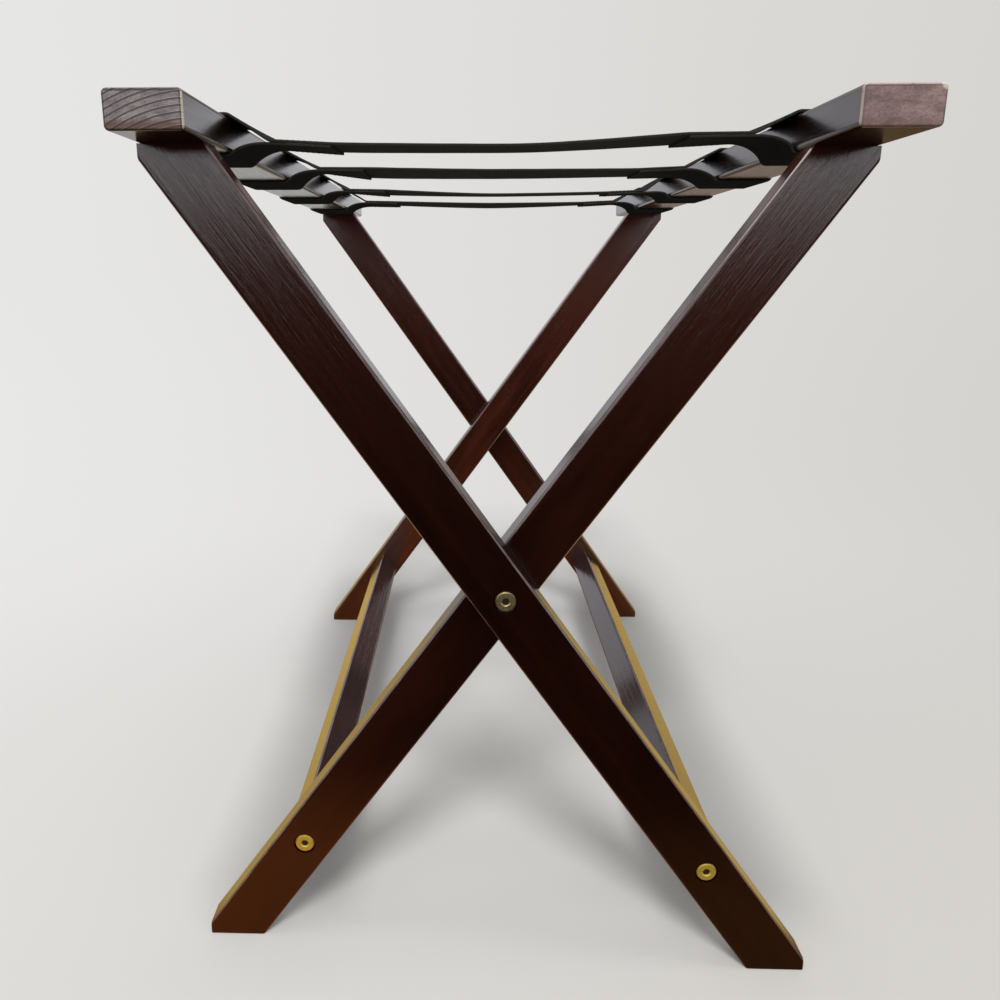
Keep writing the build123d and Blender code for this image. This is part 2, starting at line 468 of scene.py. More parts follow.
# How far in from the end's edges each mark fades.
RUN_WIDTH = (0.0012, 0.0042)
RUN_WANDER = 0.0030
SEAM_WIDTH = (0.0013, 0.0019)
BARE_WIDTH = (0.0007, 0.0011)
OUTER_LINE = (0.0008, 0.0014)
LOWER_LINE = (0.0008, 0.0016)
UPPER_LINE = (0.0007, 0.0013)
CHIP_WIDTH = (0.0034, 0.0042)
CHIP_WANDER = 0.0012

STREAK = (0.20, 0.12, 0.10)
OLIVE = (0.27, 0.21, 0.13)
DEEP_ROSE = (0.10, 0.045, 0.040)


def end_grain(board, pale):
    """The colour of a sawn end's speckled grain, and its blotches."""
    finish = board.finish
    speckle = finish.cells(board.across * 900, board.depth * 900, board.along * 40, 3.0, 0.7)
    blotch = finish.cells(board.across * 110 + board.seed, board.depth * 190, 0.0, 3.0, 0.6)
    tone = finish.mix(blotch.ramp(0.30, 0.70), shaded(pale, 0.45), pale)
    return finish.mix(speckle.ramp(0.48, 0.70) * 0.6, tone, settings().wood.end_ring), blotch


def ringed_end(board):
    """The colour of a sawn end that is crossed by dark rings."""
    look = settings().wood
    tone, blotch = end_grain(board, look.end_grain)
    return board.finish.mix(board.late * blotch.ramp(0.2, 0.6, 0.65, 0.95), tone, look.end_ring)


def rosy_end(board, inward):
    """The colour of a sawn end without rings: streaked, olive in patches above, and deeper towards the side
    that faces the other rail, which is where inward is 0."""
    finish = board.finish
    tone, blotch = end_grain(board, settings().wood.end_rosy)
    streaks = finish.cells(board.across * 60, board.depth * 620 + board.seed)
    tone = finish.mix(streaks.ramp(0.52, 0.75) * 0.35, tone, STREAK)
    olive = blotch.ramp(0.55, 0.75) * board.depth.ramp(0.0, board.half_depth)
    tone = finish.mix(olive * 0.6, tone, OLIVE)
    return finish.mix(inward.fall(0.0, 2 * board.half_width) * 0.30, tone, DEEP_ROSE)


def finish_rail(board, side, ringed):
    """The lacquered wood of a rail. Its sawn ends show grain, a darker lower edge and rubbed arrises."""
    look = settings().wood
    finish = board.finish
    marks = RINGED_MARKS if ringed else ROSY_MARKS
    depth = RAIL_END - abs(board.along)
    inward = board.half_width + board.across * side
    outward = board.half_width - board.across * side
    from_top = board.half_depth - board.depth
    from_below = board.half_depth + board.depth

    run = finish.cells(board.across * 170 + board.seed, 0.0)
    lower_edge = (from_below - run * RUN_WANDER).fall(*RUN_WIDTH)
    end = ringed_end(board) if ringed else rosy_end(board, inward)
    end = finish.mix(lower_edge * marks["run"], end, look.scorched)
    sawn = depth.fall(*SAWN_DEPTH)
    face, wear_and_highlight = board.stained(*RAIL_STAIN)
    tone = finish.mix(sawn, face, end)

    marked = depth.fall(*MARK_DEPTH)
    for gap, rubbed in ((inward, marks["facing"]), (from_top, marks["upper"])):
        seam = gap.fall(*SEAM_WIDTH) * depth.fall(*SEAM_DEPTH)
        tone = finish.mix(seam * marks["seam"], tone, look.stain)
        # A pale cream line along the arris, in patches.
        bare = gap.fall(*BARE_WIDTH) * marked * board.rub.ramp(0.25, 0.45)
        tone = finish.mix(bare * rubbed, tone, look.bare)
    line = outward.fall(*OUTER_LINE) + from_below.fall(*LOWER_LINE)
    if ringed:
        line = line + from_top.fall(*UPPER_LINE)
    tone = finish.mix((line * marked).ramp(0.0, 1.0) * marks["line"], tone, look.stain)
    if not ringed:
        chip = ((outward**2 + from_top**2).root() + run * CHIP_WANDER).fall(*CHIP_WIDTH)
        front = (board.along + RAIL_END).fall(*CHIP_DEPTH)
        tone = finish.mix(chip * front, tone, look.bare)
    relief = sawn * (1.0 + board.late if ringed else 0.5) + 0.3
    return board.lacquer(tone, wear_and_highlight, dull=RAIL_GLOSS, open_grain=sawn, relief=relief)


class RACK_OT_finish_rails(bpy.types.Operator):
    """Lacquer the two rails and draw the growth rings on their sawn ends"""

    bl_idname = "rack.finish_rails"
    bl_label = "Finish Rails"

    def execute(self, context):
        half_width = (RAIL_OUTSIDE - RAIL_INSIDE) / 2
        half_depth = (RAIL_TOP - RAIL_BOTTOM) / 2
        for name, side, pith, seed, ringed in (
            ("outer_rail", -1, (0.0277, -0.091), 3.7, True),
            ("inner_rail", 1, (0.095, -0.285), 15.0, False),
        ):
            low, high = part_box(name)
            centre = (low + high) / 2
            board = Board(f"{name}_wood", RAIL_AXES, centre, half_width, half_depth, pith, seed)
            paint(name, finish_rail(board, side, ringed))
        return {"FINISHED"}


class RACK_OT_finish_legs(bpy.types.Operator):
    """Lacquer the four legs"""

    bl_idname = "rack.finish_legs"
    bl_label = "Finish Legs"

    def execute(self, context):
        chooser = random.Random(7)
        for name, side in FRAMES:
            axes = leg_axes(side)
            for end in ENDS:
                node = f"{name}_leg_{end}"
                low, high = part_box(node)
                centre = Vector((0, (low.y + high.y) / 2, PIVOT_HEIGHT))
                half_width = half_span(node, axes[1])
                half_depth = (high.y - low.y) / 2
                pith = (chooser.uniform(-0.02, 0.02), chooser.choice((-1, 1)) * chooser.uniform(0.05, 0.09))
                seed = chooser.uniform(0, 50)
                board = Board(f"{node}_wood", axes, centre, half_width, half_depth, pith, seed)
                paint(node, finish_bar(board, *LEG_STAIN[node], planed=LEG_PLANED))
        return {"FINISHED"}


class RACK_OT_finish_stretchers(bpy.types.Operator):
    """Lacquer the two stretchers"""

    bl_idname = "rack.finish_stretchers"
    bl_label = "Finish Stretchers"

    def execute(self, context):
        for name, seed in (("outer_stretcher", 21.0), ("inner_stretcher", 30.0)):
            low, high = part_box(name)
            axes = stretcher_axes(name)
            half = half_span(name, axes[1])
            board = Board(f"{name}_wood", axes, (low + high) / 2, half, half, STRETCHER_PITH, seed)
            paint(name, finish_bar(board))
        return {"FINISHED"}


# ---------------------------------------------------------------- hardware

SOCKET = 0.0026  # radius within which a bolt's socket lies
SOCKET_RIM = 0.0004  # depth of the bevel round it
# Painted shade: the dark colour that a bolt's socket is painted in.
SOCKET_SHADE_TONE = (0.03, 0.022, 0.008)
LATHE_RINGS = 5200  # cells to the metre, from the middle outwards
TURNING_DEPTH = 0.00004
GRIT_DEPTH = 0.00002
FIBRE_DEPTH = 0.0001


def turned_brass(node, tint, metallic, roughness, tarnish):
    """Turned brass: rings from the lathe, tarnish in patches, and painted shade in the socket of a bolt."""
    material, finish = new_material(f"{node}_brass")
    low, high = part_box(node)
    axis = (low + high) / 2
    place = finish.place()
    across = finish.measure(place, (1, 0, 0)) - axis.x
    up = finish.measure(place, (0, 0, 1)) - axis.z
    radius = (across * across + up * up).root()
    face = max(abs(low.y), abs(high.y))
    sunk = face - abs(finish.measure(place, (0, 1, 0)))
    patches = finish.noise(place, 900.0, 3.0, 0.7)
    rings = finish.cells(radius * LATHE_RINGS, 0.0, detail=3.0, roughness=0.6)
    tone = finish.mix(patches.ramp(0.42, 0.72) * tarnish, tint, shaded(tint, 0.45))
    # Painted shade: the socket's floor is painted dark and less metallic.
    socket_shade = sunk.ramp(SOCKET_RIM, 3 * SOCKET_RIM) * radius.fall(SOCKET, SOCKET * 1.1)
    values = {
        "Base Color": finish.mix(socket_shade * 0.9, tone, SOCKET_SHADE_TONE),
        "Metallic": metallic - socket_shade * 0.6,
        "Roughness": roughness + rings.ramp(0.35, 0.7) * 0.10,
        "Normal": finish.bump(rings + patches, TURNING_DEPTH, 0.6),
    }
    surface(finish, values)
    return material


def washer_nylon():
    """Black moulded nylon with a fine grit."""
    material, finish = new_material("washer_nylon")
    grit = finish.noise(finish.place(), 3000.0)
    values = {
        "Base Color": finish.mix(grit, (0.020, 0.019, 0.018), (0.035, 0.034, 0.032)),
        "Roughness": 0.45 + grit * 0.1,
        "Normal": finish.bump(grit, GRIT_DEPTH),
    }
    surface(finish, values)
    return material


def dowel_beech():
    """Plain beech, planed and unfinished."""
    material, finish = new_material("dowel_beech")
    fibre = finish.noise(finish.place(), 900.0, 3.0)
    values = {
        "Base Color": finish.mix(fibre, (0.45, 0.27, 0.13), (0.62, 0.42, 0.24)),
        "Roughness": 0.6 + fibre * 0.2,
        "Normal": finish.bump(fibre, FIBRE_DEPTH),
    }
    surface(finish, values)
    return material


class RACK_OT_finish_hardware(bpy.types.Operator):
    """Finish the bolts, nuts, inserts, washers and dowels"""

    bl_idname = "rack.finish_hardware"
    bl_label = "Finish Hardware"

    def execute(self, context):
        look = settings().metal
        nylon = washer_nylon()
        beech = dowel_beech()
        for name in NODES:
            if "stretcher_bolt" in name or "insert" in name:
                brass = turned_brass(name, look.brass, metallic=0.82, roughness=0.56, tarnish=0.30)
                paint(name, brass)
            elif "pivot_washer" in name:
                paint(name, nylon)
            elif "pivot_" in name:
                antique = turned_brass(name, look.antique, metallic=0.96, roughness=0.40, tarnish=0.80)
                paint(name, antique)
            elif "dowels" in name:
                paint(name, beech)
        return {"FINISHED"}


# ---------------------------------------------------------------- straps

# How each strap hangs, in millimetres, from its left rail to its right one: where it meets its own end
# beside the left rail, at that end's cut, in the middle, at the right end's cut and beside the right rail.
# First comes the drop below the top of the rails, then how much higher the rear edge lies than the front
# one, then how steeply, in degrees, the webbing comes up from under the left and the right rail.
HANGS = (
    ((10.6, 12.7, 13.6, 8.8, 7.7), (3.5, 2.7, 3.2, 1.7, 3.2), (42, 66)),
    ((8.6, 10.8, 12.1, 11.3, 10.3), (3.3, -0.9, -0.3, 0.7, 0.0), (48, 42)),
    ((10.6, 12.3, 14.9, 13.4, 12.2), (2.9, 0.6, 2.7, 2.8, 2.8), (50, 58)),
    ((10.8, 11.4, 13.7, 11.8, 10.2), (0.2, 0.2, -0.7, 1.3, 1.7), (46, 60)),
)
ARRIS = 0.0025  # radius of the rails' long arrises
AIR = 0.0002  # webbing to wood
MEETING = 0.0225  # inner face of a rail to the place where the two layers meet
BOW = 0.0008  # how far the stiff webbing stands off a rail's upper inner arris
STATION = 0.0011  # between two sections of the webbing's mesh
PRESSED = 0.98  # of the thickness, from the middle of one layer to that of the other
CUT_CHANCE = 0.0015  # how much longer or shorter a sewn end may be cut

# The handles of the curves along a strap, at both ends of each free stretch.
UNDER_RAIL = (0.0110, 0.0055)  # from where the layers meet to the rail's lower face
OVER_RAIL = (0.010, 0.008)  # across the rail's upper face
OFF_RAIL = (0.8, 0.0030)  # from there to where the layers meet, the first as a share of the distance
MID_SPAN = (0.006, 0.030)  # from the cut end to the middle


def bezier(start, first, second, end, count):
    """Points along a cubic curve, without its last point."""
    found = []
    for step in range(count):
        t = step / count
        u = 1 - t
        found.append(start * u**3 + first * 3 * t * u**2 + second * 3 * t**2 * u + end * t**3)
    return found


def straight(start, end, count):
    """Points along a line, without its last point."""
    return [start.lerp(end, step / count) for step in range(count)]


def arc(centre, radius, start, end, count):
    """Points round part of a circle, in degrees, without its last point."""
    found = []
    for step in range(count):
        found.append(centre + polar(start + (end - start) * step / count) * radius)
    return found


def polar(degrees):
    angle = math.radians(degrees)
    return Vector((math.cos(angle), math.sin(angle)))


def half_edge(thickness, sewn, beside, cut, middle, rise):
    """Half of one edge of a strap, in (x, z), on the right: from the cut end below, back under the rail, up
    round it and out again to the middle. beside, cut and middle are heights, and rise is in degrees."""
    off = AIR + thickness / 2
    turn = ARRIS + off
    layer = thickness * PRESSED
    meeting = Vector((RAIL_INSIDE - MEETING, beside))
    cut_end = Vector((RAIL_INSIDE - MEETING - sewn, cut))
    middle = Vector((0, middle))
    below = Vector((0, -layer))
    way = (cut_end - meeting).normalized()
    inner_high = Vector((RAIL_INSIDE + ARRIS, RAIL_TOP - ARRIS))
    inner_low = Vector((RAIL_INSIDE + ARRIS, RAIL_BOTTOM + ARRIS))
    outer_low = Vector((RAIL_OUTSIDE - ARRIS, RAIL_BOTTOM + ARRIS))
    outer_high = Vector((RAIL_OUTSIDE - ARRIS, RAIL_TOP - ARRIS))
    up = polar(180 - rise)
    clear = inner_low + polar(-90 - rise) * turn
    leaving = math.degrees(math.atan2(RAIL_TOP + BOW - beside, MEETING))
    exit_point = inner_high + polar(90 + leaving) * (turn + BOW)
    exit_way = polar(180 + leaving)
    under = meeting + below
    points = straight(cut_end + below, under, 30)
    points += bezier(under, under - way * UNDER_RAIL[0], clear + up * UNDER_RAIL[1], clear, 36)
    points += arc(inner_low, turn, -90 - rise, -90, 10)
    points += straight(inner_low + polar(-90) * turn, outer_low + polar(-90) * turn, 20)
    points += arc(outer_low, turn, -90, 0, 10)
    points += straight(outer_low + polar(0) * turn, outer_high + polar(0) * turn, 12)
    points += arc(outer_high, turn, 0, 90, 10)
    over = outer_high + polar(90) * turn
    bowed = inner_high + polar(90) * (turn + BOW)
    left = Vector((-1, 0))
    points += bezier(over, over + left * OVER_RAIL[0], bowed - left * OVER_RAIL[1], bowed, 20)
    points += arc(inner_high, turn + BOW, 90, 90 + leaving, 8)
    reach = (exit_point - meeting).length * OFF_RAIL[0]
    points += bezier(exit_point, exit_point + exit_way * reach, meeting - way * OFF_RAIL[1], meeting, 32)
    points += straight(meeting, cut_end, 30)
    doubled = len(points)
    points += bezier(cut_end, cut_end + way * MID_SPAN[0], middle - left * MID_SPAN[1], middle, 50)
    return points, doubled


def strap_edge(look, number, front):
    """One edge of a whole strap, in (x, z), from cut end to cut end, and the points that lie over them."""
    chooser = random.Random(40 + number)
    drops, leans, rises = HANGS[number % len(HANGS)]
    tilt = -0.5 if front else 0.5
    heights = [RAIL_TOP - (drop - lean * tilt) / 1000 for drop, lean in zip(drops, leans)]
    tails = [look.sewn + chooser.uniform(-CUT_CHANCE, CUT_CHANCE) for _ in rises]
    beside_left, cut_left, middle, cut_right, beside_right = heights
    left, _ = half_edge(look.thickness, tails[0], beside_left, cut_left, middle, rises[0])
    right, doubled = half_edge(look.thickness, tails[1], beside_right, cut_right, middle, rises[1])
    left = [Vector((-point.x, point.y)) for point in left]
    edge = left + [Vector((0, middle))] + right[::-1]
    return edge, (doubled, len(edge) - 1 - doubled)


class Strap:
    """The course of a strap: even stations along it, each with a front and a rear point and a normal."""

    def __init__(self, look, number):
        low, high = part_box(STRAP_NODES[number])
        self.centre = (low.y + high.y) / 2
        self.width = high.y - low.y
        front, _ = strap_edge(look, number, True)
        rear, doubled = strap_edge(look, number, False)
        middle = [(a + b) / 2 for a, b in zip(front, rear)]
        reached = [0.0]
        for first, second in zip(middle, middle[1:]):
            reached.append(reached[-1] + (second - first).length)
        self.length = reached[-1]
        self.doubled = [reached[index] for index in doubled]
        count = round(self.length / STATION)
        self.stations = []
        index = 0
        for station in range(count + 1):
            goal = self.length * station / count
            while index < len(middle) - 2 and reached[index + 1] < goal:
                index += 1
            share = (goal - reached[index]) / (reached[index + 1] - reached[index])
            self.stations.append([edge[index].lerp(edge[index + 1], share) for edge in (front, rear)])
        self.normals = []
        for station in range(count + 1):
            before = self.stations[max(station - 1, 0)]
            after = self.stations[min(station + 1, count)]
            way = (after[0] + after[1] - before[0] - before[1]).normalized()
            self.normals.append(Vector((-way.y, way.x)))

    def place(self, distance, across, up):
        """The point at a distance along the strap, across it and up from the middle of its thickness."""
        reach = distance / self.length * (len(self.stations) - 1)
        index = min(max(int(reach), 0), len(self.stations) - 2)
        share = reach - index
        here, there = self.stations[index], self.stations[index + 1]
        normal = self.normals[index].lerp(self.normals[index + 1], share)
        front, rear = here[0].lerp(there[0], share), here[1].lerp(there[1], share)
        point = front.lerp(rear, across / self.width + 0.5) + normal * up
        return Vector((point.x, self.centre + across, point.y))


SELVEDGE_ROUND = 0.3  # of the thickness, by which a strip's edges are rounded
FLAT_STEPS = 14  # across each face of a strip


def webbing_section(width, thickness):
    """Points round a strip's section, as (across, up), with rounded edges."""
    rounded = thickness * SELVEDGE_ROUND
    flat = width / 2 - rounded
    found = []
    for side in (1, -1):
        for number in range(FLAT_STEPS + 1):
            found.append((side * flat * (2 * number / FLAT_STEPS - 1), side * thickness / 2))
        for angle in (60, 20, -20, -60):
            turn = polar(angle)
            found.append((side * (flat + turn.x * rounded), side * turn.y * thickness / 2))
    return found


RIB_PITCH = 0.0011  # along a strip
WARP_PITCH = 0.0014  # across it
WEAVE_DEPTH = 0.00022
SELVEDGE = (0.0006, 0.0001)  # in from a strip's edge, between which it wears paler
UNDERSIDE_LIGHT_REACH = (0.07, 0.14)  # from the middle of the span, between which the painted light on the underside thins out


def woven_black(name, tint, half_width):
    """Black webbing: fine ribs across the strip, a twill along it, a little lint, rubbed edges and, in the
    middle of the span, an underside painted paler as painted light."""
    material, finish = new_material(name)
    place = finish.cloth_place()
    along = finish.measure(place, (1, 0, 0))
    across = finish.measure(place, (0, 1, 0))
    rib = (along * (2 * math.pi / RIB_PITCH)).wave()
    warp = (across * (2 * math.pi / WARP_PITCH)).wave()
    twill = (along * (math.pi / RIB_PITCH) + across * (math.pi / WARP_PITCH)).wave()
    lint = finish.cells(along * 900, across * 900, detail=3.0, roughness=0.7)
    fade = finish.cells(along * 30, across * 60, detail=3.0, roughness=0.6)
    tone = (rib * 0.35 + warp * 0.25 + lint * 0.5 + fade * 0.35).ramp(0.3, 1.2)
    clean = finish.mix(tone, shaded(tint, 0.6), shaded(tint, 1.8))
    # Painted light: in the middle of the span, away from the rails' shade, the underside is painted paler.
    lit_underside = finish.mix(tone, shaded(tint, 1.6), shaded(tint, 4.6))
    facing = finish.add("ShaderNodeTexCoord", output="Normal")
    upward = finish.measure(facing, (0, 0, 1)).ramp(-0.3, 0.3, 0.0, 0.7)
    underside_light = abs(finish.measure(finish.place(), (1, 0, 0))).fall(*UNDERSIDE_LIGHT_REACH) * (1 - upward)
    cloth = finish.mix(underside_light, clean, lit_underside)
    selvedge = abs(across).ramp(half_width - SELVEDGE[0], half_width - SELVEDGE[1])
    values = {
        "Base Color": finish.mix(selvedge * lint.ramp(0.3, 0.6, 0.4, 1.0), cloth, shaded(tint, 2.5)),
        "Roughness": 0.80 + lint * 0.12,
        "Sheen Weight": 0.02,
        "Sheen Roughness": 0.5,
        "Specular IOR Level": 0.0,
        "Normal": finish.bump(rib * 0.5 + warp * 0.35 + twill * 0.3 + lint * 0.2, WEAVE_DEPTH, 0.9),
    }
    surface(finish, values)
    return material


THREAD_DEPTH = 0.00008


def sewing_thread(name, tint):
    """Twisted black thread with a dull shine."""
    material, finish = new_material(name)
    fibre = finish.noise(finish.place(), 2600.0, 3.0, 0.65)
    values = {
        "Base Color": finish.mix(fibre.ramp(0.3, 0.7), shaded(tint, 0.6), shaded(tint, 1.5)),
        "Roughness": 0.70 + fibre * 0.2,
        "Specular IOR Level": 0.05,
        "Normal": finish.bump(fibre, THREAD_DEPTH, 0.8),
    }
    surface(finish, values)
    return material


def cloth_piece(name, mesh, material):
    """Finish a mesh as a piece of a strap."""
    bmesh.ops.recalc_face_normals(mesh, faces=mesh.faces)
    piece = stand(name, bpy.data.meshes.new(name))
    mesh.to_mesh(piece.data)
    mesh.free()
    piece.data.materials.append(material)
    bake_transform(piece)
    return piece


RIPPLE = 0.00018  # how far a strip wanders sideways
RIPPLE_RATE = 190  # in radians to the metre
SWELL = 0.004  # the share by which its width varies
SWELL_RATE = 310


def weave(strap, look, phase):
    """The mesh of a strap, whose UVs are metres along and across it."""
    mesh = bmesh.new()
    layer = mesh.loops.layers.uv.new("weave")
    section = webbing_section(strap.width, look.thickness)
    count = len(section)
    rings, distances = [], []
    for station in range(len(strap.stations)):
        distance = strap.length * station / (len(strap.stations) - 1)
        ripple = RIPPLE * math.sin(distance * RIPPLE_RATE + phase)
        swell = 1 + SWELL * math.sin(distance * SWELL_RATE + phase)
        places = [strap.place(distance, across * swell + ripple, up) for across, up in section]
        rings.append([mesh.verts.new(place) for place in places])
        distances.append(distance)
    for first, second, here, there in zip(rings, rings[1:], distances, distances[1:]):
        for corner in range(count):
            after = (corner + 1) % count
            face = mesh.faces.new((first[corner], first[after], second[after], second[corner]))
            face.smooth = True
            side, next_side = section[corner][0], section[after][0]
            marks = ((here, side), (here, next_side), (there, next_side), (there, side))
            for loop, mark in zip(face.loops, marks):
                loop[layer].uv = mark
    mesh.faces.new(rings[0][::-1])
    mesh.faces.new(rings[-1])
    return mesh


class RACK_OT_weave_straps(bpy.types.Operator):
    """Make the four webbing straps round the rails"""

    bl_idname = "rack.weave_straps"
    bl_label = "Weave Straps"

    def execute(self, context):
        look = settings().straps
        low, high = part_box(STRAP_NODES[0])
        material = woven_black("black_webbing", look.webbing, (high.y - low.y) / 2)
        for number, node in enumerate(STRAP_NODES):
            strap = Strap(look, number)
            phase = random.Random(90 + number).uniform(0, 6)
            piece = cloth_piece(node.replace("strap", "webbing"), weave(strap, look, phase), material)
            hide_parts(node)
        return {"FINISHED"}


# The shape of a stitch: places along it, from -1 to 1, and the share of the thread's width there.
STITCH_SHAPE = ((-1, 0.35), (-0.8, 0.8), (-0.4, 1), (0.4, 1), (0.8, 0.8), (1, 0.35))
THREAD_SIDES = 6
STITCH_SPACING = 1.25  # of a stitch's length
STITCH_ENDS = (0.10, 0.90)  # of the spacing, where a stitch starts and ends
STITCH_SLIP = 0.04  # how far either may be off
ROW_MARGIN = 0.0032  # from the cut, and from where the layers meet, to the outermost rows across
SIDE_MARGIN = 0.0030  # from a strap's edge to the row beside it


def lay_stitch(mesh, strap, start, end, lift, width):
    """One stitch between two places on a strap, (distance, across): a thread that dips at both ends."""
    start, end = Vector(start), Vector(end)
    middle = (start + end) / 2
    way = (end - start).normalized()
    side = Vector((-way.y, way.x))
    half = (end - start).length / 2
    rings = []
    for share, size in STITCH_SHAPE:
        dip = width * 0.5 * abs(share) ** 3
        ring = []
        for corner in range(THREAD_SIDES):
            turn = polar(360 * corner / THREAD_SIDES) * width / 2 * size
            spot = middle + way * half * share + side * turn.x
            ring.append(mesh.verts.new(strap.place(spot.x, spot.y, lift + turn.y - dip)))
        rings.append(ring)
    for first, second in zip(rings, rings[1:]):
        for corner in range(THREAD_SIDES):
            after = (corner + 1) % THREAD_SIDES
            mesh.faces.new((first[corner], first[after], second[after], second[corner])).smooth = True
    mesh.faces.new(rings[0][::-1])
    mesh.faces.new(rings[-1])


def stitch_row(mesh, strap, start, end, look, chooser):
    """A row of stitches between two places on a strap."""
    start, end = Vector(start), Vector(end)
    count = max(1, round((end - start).length / (look.stitch * STITCH_SPACING)))
    lift = (look.thickness + look.thread_width * 0.2) / 2
    for number in range(count):
        near, far = [number + place + chooser.uniform(-STITCH_SLIP, STITCH_SLIP) for place in STITCH_ENDS]
        wander = Vector((chooser.uniform(-1, 1), chooser.uniform(-1, 1))) * look.thread_width * 0.3
        first, last = start.lerp(end, near / count) + wander, start.lerp(end, far / count)
        lay_stitch(mesh, strap, first, last, lift, look.thread_width)


def stitch_end(mesh, strap, cut, way, look, chooser):
    """Sew one face of a doubled end: rows across it, from its cut on, and one along each edge."""
    edge = strap.width / 2 - SIDE_MARGIN
    first, last = cut + way * ROW_MARGIN, cut + way * (look.sewn - ROW_MARGIN)
    for row in range(look.rows):
        place = first + (last - first) * row / (look.rows - 1)
        stitch_row(mesh, strap, (place, -edge), (place, edge), look, chooser)
    for across in (-edge, edge):
        stitch_row(mesh, strap, (first, across), (last, across), look, chooser)


class RACK_OT_stitch_straps(bpy.types.Operator):
    """Sew the ends of each strap down, with stitches above and below"""

    bl_idname = "rack.stitch_straps"
    bl_label = "Stitch Straps"

    def execute(self, context):
        look = settings().straps
        material = sewing_thread("black_thread", look.thread)
        for number, node in enumerate(STRAP_NODES):
            strap = Strap(look, number)
            chooser = random.Random(60 + number)
            mesh = bmesh.new()
            left, right = strap.doubled
            for cut, way in ((0.0, 1), (left, -1), (right, 1), (strap.length, -1)):
                stitch_end(mesh, strap, cut, way, look, chooser)
            stitching = cloth_piece(node.replace("strap", "stitching"), mesh, material)
        return {"FINISHED"}


# ---------------------------------------------------------------- stage

FLOOR_REACH = 30  # from the rack to the floor's edges
FLOOR_SQUARES = 8
FLOOR_GAP = 0.0002  # feet to floor
FRONT_TINT = (0.955, 0.94, 0.92)  # of the backdrop's colour, where the floor comes nearest: a painted light falloff

# The floor is lit under the rack, so that a shadow falls there, and glows by itself far away.
LIT_SHARE = 0.84  # of the paper's colour
GLOW_REACH = (0.35, 1.2)  # distances from the rack's middle
GLOW_SHARE = (0.08, 1.0)

# A painted shadow darkens two strips of the floor, under the long sides.
PAINTED_SHADOW_MIDDLE = 0.008  # right of the rack's middle
PAINTED_SHADOW_STARTS = (0.09, 0.14)  # sideways from there
PAINTED_SHADOW_ENDS = (0.165, 0.24)
PAINTED_SHADOW_FRONT = (0.19, 0.25)  # in front of the rack's middle
PAINTED_SHADOW_REAR = (0.30, 0.45)  # behind it
PAINTED_SHADOW_SHARE = 0.35

# Lamps that light only the floor: name, way of the light, power and angle across, in degrees.
FLOOR_LIGHTS = (
    ("floor_light_front", (0.03, 0.80, -1.0), 2.05, 15),
    ("floor_light_above", (0.03, 0.05, -1.0), 0.38, 12),
)
SOFTBOX_SIZE = 1.8
SOFTBOX_PLACE = Vector((-0.35, -0.2, 2.1))
SOFTBOX_TARGET = Vector((0, 0, 0.2))

SENSOR_WIDTH = 36
FOCAL_LENGTH = 27.747
LENS_SHIFT = (0.0508, -0.0614)
CAMERA_PLACE = (-0.02148, -0.67664, 0.43602)
CAMERA_DOWN = 12.38  # degrees below level
CAMERA_LEFT = 1.53  # degrees left of the rails' direction


def by_side(finish, side, left, right):
    """A colour that goes evenly from left, where side is -1, to right, where it is 1."""
    return finish.mix(side * 0.5 + 0.5, left, right)


def by_ray(finish, seen, mirrored, filling):
    """One shader for the camera's rays, one for rays off a shiny surface and one for all others."""
    camera_ray = finish.add("ShaderNodeLightPath", output="Is Camera Ray")
    glossy_ray = finish.add("ShaderNodeLightPath", output="Is Glossy Ray")
    return finish.blend(camera_ray, finish.blend(glossy_ray, filling, mirrored), seen)


def paper_tone(finish, look, side, across, along, distance):
    """The floor's paper colour: the backdrop's, with a painted light falloff that is darker and warmer in
    front, and a painted shadow in two strips.
    """
    paper = by_side(finish, side, look.backdrop_left, look.backdrop_right)
    near_left = [whole * share for whole, share in zip(look.backdrop_left, FRONT_TINT)]
    near_right = [whole * share for whole, share in zip(look.backdrop_right, FRONT_TINT)]
    front = along.fall(-0.35, 0.60) * distance.fall(0.9, 3.0)
    paper = finish.mix(front, paper, by_side(finish, side, near_left, near_right))
    # Painted shadow in two strips under the rack's long sides.
    gap = abs(across - PAINTED_SHADOW_MIDDLE)
    strip = gap.ramp(*PAINTED_SHADOW_STARTS) * gap.fall(*PAINTED_SHADOW_ENDS)
    strip = strip * (-along).fall(*PAINTED_SHADOW_FRONT) * along.fall(*PAINTED_SHADOW_REAR)
    return finish.mix(strip * PAINTED_SHADOW_SHARE, paper, (0, 0, 0))


def mirrored_tone(finish, side, across, along, distance):
    """The painted reflection that the floor glows with to the lacquer: red-brown between the feet, golden
    beside them, farther off paler on the left than on the right, and dark in front."""
    far = finish.mix(side.ramp(0.0, 0.25), (0.66, 0.67, 0.67), (0.37, 0.295, 0.245))
    far = finish.mix(side.ramp(0.36, 0.52), far, (0.12, 0.070, 0.020))
    between = finish.mix(side.ramp(-0.1, 0.2), (0.50, 0.44, 0.36), (0.12, 0.085, 0.070))
    near = finish.mix(abs(across).ramp(0.185, 0.215), (0.26, 0.085, 0.025), (0.86, 0.59, 0.18))
    tone = finish.mix(distance.ramp(0.75, 1.2), near, between)
    tone = finish.mix(distance.ramp(2.0, 3.2), tone, far)
    red = finish.mix(across.ramp(-0.2, 0.2), (0.40, 0.11, 0.025), (0.12, 0.05, 0.014))
    tone = finish.mix((-along).ramp(0.20, 0.265), tone, red)
    return finish.mix((-along).ramp(0.31, 0.45), tone, (0.012, 0.005, 0.003))


